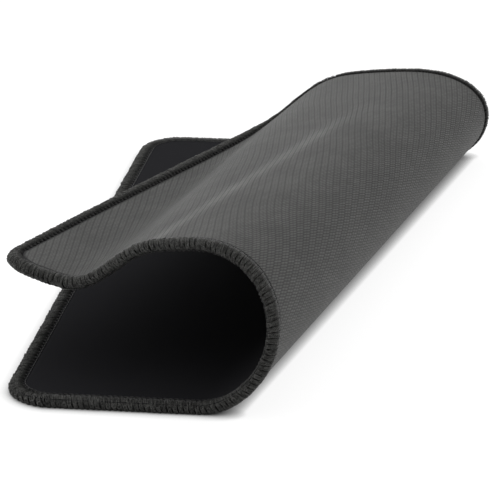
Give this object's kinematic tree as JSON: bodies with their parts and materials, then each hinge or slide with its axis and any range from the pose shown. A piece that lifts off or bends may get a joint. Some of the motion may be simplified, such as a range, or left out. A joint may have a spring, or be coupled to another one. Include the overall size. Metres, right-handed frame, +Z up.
{
  "type": "mouse pad",
  "caption": "Stitched-edge cloth mouse pad on a foamed rubber base, lying with its right side rolled up and folded back over the rest, rubber side out.",
  "frame": {"origin": "under the middle of the folded pad's bounding box, on the surface that it lies on", "axes": "+Z up, +Y along the roll towards its narrower end, +X towards the rolled side"},
  "size_m": [0.123, 0.2834, 0.0508],
  "materials": {
    "cloth": "fine smooth weave, matt",
    "film": "thin hot-melt film",
    "rubber": "fine embossed texture, satin",
    "looper_thread": "textured polyester thread",
    "needle_thread": "spun polyester thread"
  },
  "bodies": {
    "root": {"cloth_surface": "cloth", "adhesive_film": "film", "rubber_base": "rubber", "upper_looper_thread": "looper_thread", "lower_looper_thread": "looper_thread", "needle_thread": "needle_thread"}
  },
  "joints": []
}
